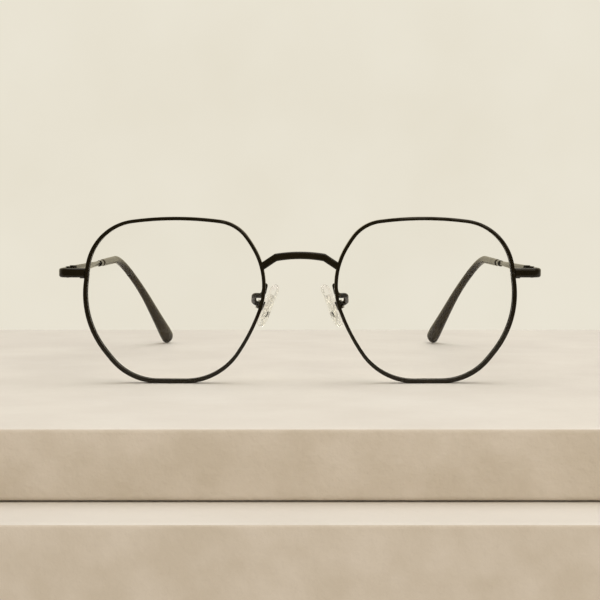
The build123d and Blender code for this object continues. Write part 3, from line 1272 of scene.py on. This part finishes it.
@dataclass(frozen=True)
class Lamp:
    """A soft square lamp, placed from the foot of the front."""

    name: str
    place: tuple[float, float, float]
    size: float
    power: float
    color: tuple[float, float, float]


OVERHEAD = Lamp("overhead_light", (0.1, 0.1, 0.95), 0.9, 5.0, (1.0, 1.0, 1.0))
AHEAD = Lamp("front_light", (0.3, -0.95, 0.65), 0.7, 4.2, (1.0, 0.88, 0.7))


@dataclass
class Stage:
    """The stone slabs, the pale surroundings, the lamps and the camera."""

    shop: Workshop
    half_width: float = 0.9
    front_reach: float = 0.093
    back_reach: float = 0.199
    slab_height: float = 0.01675
    slab_gap: float = 0.00035
    lower_height: float = 0.08
    lower_step: float = 0.0242
    edge: float = 0.0011
    edge_segments: int = 4
    edge_profile: float = 0.5
    level_limit: float = 0.8
    aim: tuple[float, float, float] = (0, 0.03, 0.02)
    lamp_gloss: float = 0.3
    room_light: tuple[float, float, float] = (1.0, 0.93, 0.84)
    wall_light: tuple[float, float, float] = (0.86, 0.82, 0.71)
    wall_dark: tuple[float, float, float] = (0.755, 0.7, 0.57)
    gloss_light: tuple[float, float, float] = (0.86, 0.77, 0.56)
    wall_scale: float = 9.0
    wall_detail: float = 4.0
    gloss_fade: tuple[float, ...] = (-0.45, 0.4, 0.16, 1)
    light_fade: tuple[float, ...] = (-0.3, 0.1, 0.9, 0.5)
    camera_distance: float = 0.45
    camera_height: float = 0.05
    camera_pitch: float = math.radians(3.33)
    camera_clip: tuple[float, float] = (0.01, 20)
    focal_pixels: float = 1580.0
    picture_pixels: float = 600.0
    sensor: float = 36.0

    def slab(self, name: str, low: Vector, high: Vector) -> None:
        """Make a stone slab with rounded edges, polished on top only; its sides take a darker
        stone colour that is partly painted shade.

        Args:
            name: its name.
            low: its lowest corner.
            high: its highest corner.
        """
        shape = bmesh.new()
        bmesh.ops.create_cube(shape, size=1)
        place = Matrix.Translation((high + low) / 2) @ Matrix.Diagonal((*(high - low), 1))
        bmesh.ops.transform(shape, matrix=place, verts=shape.verts)
        bmesh.ops.bevel(
            shape, geom=shape.edges, offset=self.edge, segments=self.edge_segments,
            profile=self.edge_profile, affect="EDGES",
        )
        mesh = bpy.data.meshes.new(name)
        shape.to_mesh(mesh)
        shape.free()
        piece = self.shop.add(name, mesh)
        self.shop.dress(piece, PALE_STONE)
        mesh.materials.append(self.shop.material(UNPOLISHED_SHADED_STONE))
        # faces that do not look up get the darker side stone, partly unpolished finish and
        # partly painted shade
        for polygon in mesh.polygons:
            polygon.material_index = int(polygon.normal.z < self.level_limit)

    def light(self, lamp: Lamp, foot: Vector) -> None:
        """Add a lamp that points at the eyeglasses.

        Args:
            lamp: its place, size and light.
            foot: the point below the middle of the front.
        """
        light = bpy.data.lights.new(lamp.name, "AREA")
        light.size = lamp.size
        light.energy = lamp.power
        light.color = lamp.color
        light.specular_factor = self.lamp_gloss
        place = foot + Vector(lamp.place)
        toward = foot + Vector(self.aim) - place
        piece = self.shop.add(lamp.name, light)
        piece.location = place
        piece.visible_transmission = False
        piece.rotation_euler = toward.to_track_quat("-Z", "Y").to_euler()

    def surroundings(self) -> None:
        """Make the world: a pale wall to the eye and to gloss, a soft light to the rest."""
        world = bpy.data.worlds.new("pale_room")
        bpy.context.scene.world = world
        world.use_nodes = True
        nodes = Nodes(world.node_tree)
        way = nodes.add("ShaderNodeTexCoord").outputs["Generated"]
        texture = {"Vector": way, "Scale": self.wall_scale, "Detail": self.wall_detail}
        clouds = nodes.add("ShaderNodeTexNoise", texture).outputs["Fac"]
        tones = {"Factor": clouds, "A": (*self.wall_dark, 1), "B": (*self.wall_light, 1)}
        paint = nodes.add("ShaderNodeMix", tones, data_type="RGBA")
        shown = nodes.add("ShaderNodeBackground", {"Color": paint.outputs["Result"]})
        level = nodes.add("ShaderNodeSeparateXYZ", {"Vector": way}).outputs
        room = world.node_tree.nodes["Background"]
        gloss = nodes.add("ShaderNodeBackground")
        fades = (
            (room, self.room_light, level["Z"], self.light_fade),
            (gloss, self.gloss_light, level["Y"], self.gloss_fade),
        )
        for target, color, value, ends in fades:
            inputs = dict(zip(RANGE_SOCKETS, ends)) | {"Value": value}
            fade = nodes.add("ShaderNodeMapRange", inputs, interpolation_type="SMOOTHSTEP")
            nodes.fill(target, {"Color": (*color, 1), "Strength": fade.outputs["Result"]})
        ray = nodes.add("ShaderNodeLightPath").outputs
        seen = nodes.math("MAXIMUM", ray["Is Camera Ray"], ray["Is Transmission Ray"])
        room, gloss, shown = (node.outputs["Background"] for node in (room, gloss, shown))
        unseen = nodes.join("ShaderNodeMixShader", ray["Is Glossy Ray"], room, gloss)
        whole = nodes.join("ShaderNodeMixShader", seen, unseen, shown)
        nodes.fill(world.node_tree.nodes["World Output"], {"Surface": whole})

    def camera(self, foot: Vector) -> None:
        """Set the camera at the photograph's place.

        Args:
            foot: the point below the middle of the front.
        """
        view = bpy.data.cameras.new("photograph_view")
        view.sensor_width = self.sensor
        view.lens = self.focal_pixels / self.picture_pixels * self.sensor
        view.clip_start, view.clip_end = self.camera_clip
        camera = self.shop.add("photograph_view", view)
        camera.location = foot + Vector((0, -self.camera_distance, self.camera_height))
        camera.rotation_euler = (math.radians(90) - self.camera_pitch, 0, 0)
        bpy.context.scene.camera = camera

    def build(self) -> None:
        """Make the slabs, lamps, surroundings and camera."""
        low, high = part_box("rim_left")
        foot = Vector((0, (low.y + high.y) / 2, 0))
        near, far = foot.y - self.front_reach, foot.y + self.back_reach
        top = -self.slab_height - self.slab_gap
        slabs = (
            ("floor_slab", near, -self.slab_height, 0),
            ("lower_slab", near - self.lower_step, top - self.lower_height, top),
        )
        for name, start, bottom, top in slabs:
            low = Vector((-self.half_width, start, bottom))
            self.slab(name, low, Vector((self.half_width, far, top)))
        for lamp in (OVERHEAD, AHEAD):
            self.light(lamp, foot)
        self.surroundings()
        self.camera(foot)
        bpy.context.scene.view_settings.view_transform = "Standard"


def main() -> None:
    """Build the eyeglasses' visible pieces and their stage."""
    logging.basicConfig(level=logging.INFO, format="%(name)s: %(message)s")
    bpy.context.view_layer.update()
    shop = Workshop()
    Front(shop).build()
    LockScrews(shop).build()
    Lenses(shop).build()
    Temples(shop).build()
    pads = NosePads(shop)
    pads.build()
    PadArms(shop).build(pads)
    Stage(shop).build()
    log.info("sizes written")


if __name__ == "__main__":
    main()
